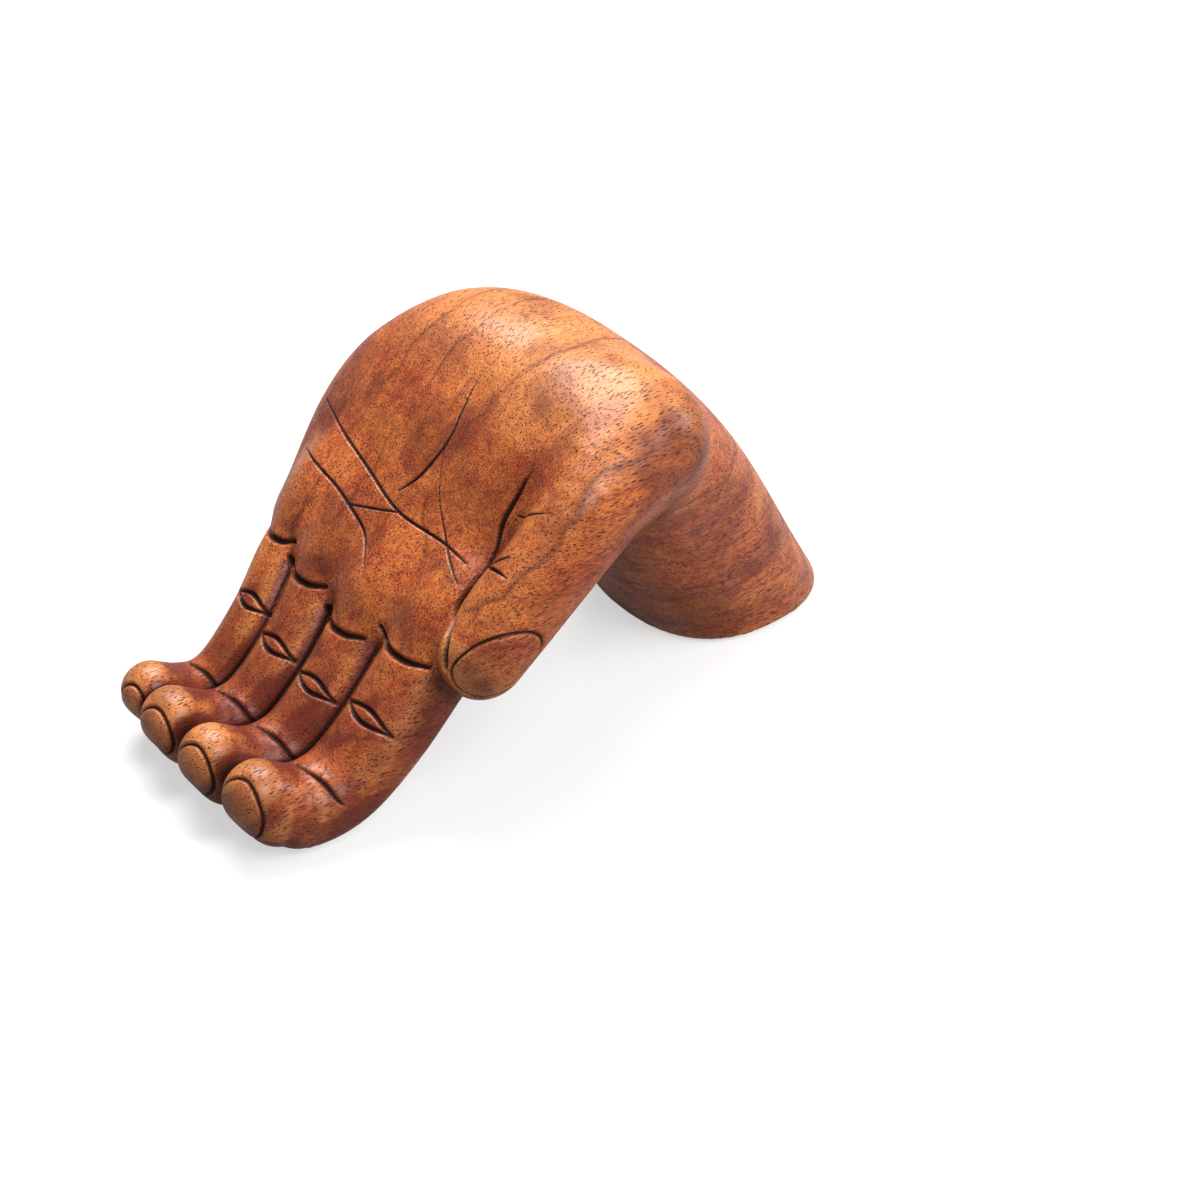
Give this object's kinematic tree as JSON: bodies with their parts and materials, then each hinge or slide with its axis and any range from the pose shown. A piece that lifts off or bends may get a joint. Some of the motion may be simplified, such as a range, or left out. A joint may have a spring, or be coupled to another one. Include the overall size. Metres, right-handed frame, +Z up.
{
  "type": "phone stand",
  "caption": "Carved wooden phone stand shaped as a relaxed left hand, palm up, whose curled fingertips hold the phone's edge.",
  "frame": {"origin": "on the table, under the middle of the stand's outline", "axes": "+X across the hand to the thumb's side, +Y back from the curled fingertips to the sawn foot, +Z up from the table"},
  "size_m": [0.1002, 0.189, 0.0934],
  "materials": {
    "varnished_wood": "satin varnish over stained, oiled hardwood",
    "felt": "matt felt"
  },
  "bodies": {
    "root": {"carved_hand": "varnished_wood", "foot_felt_1": "felt", "foot_felt_2": "felt", "foot_felt_3": "felt", "index_finger_felt": "felt", "little_finger_felt": "felt"}
  },
  "joints": []
}
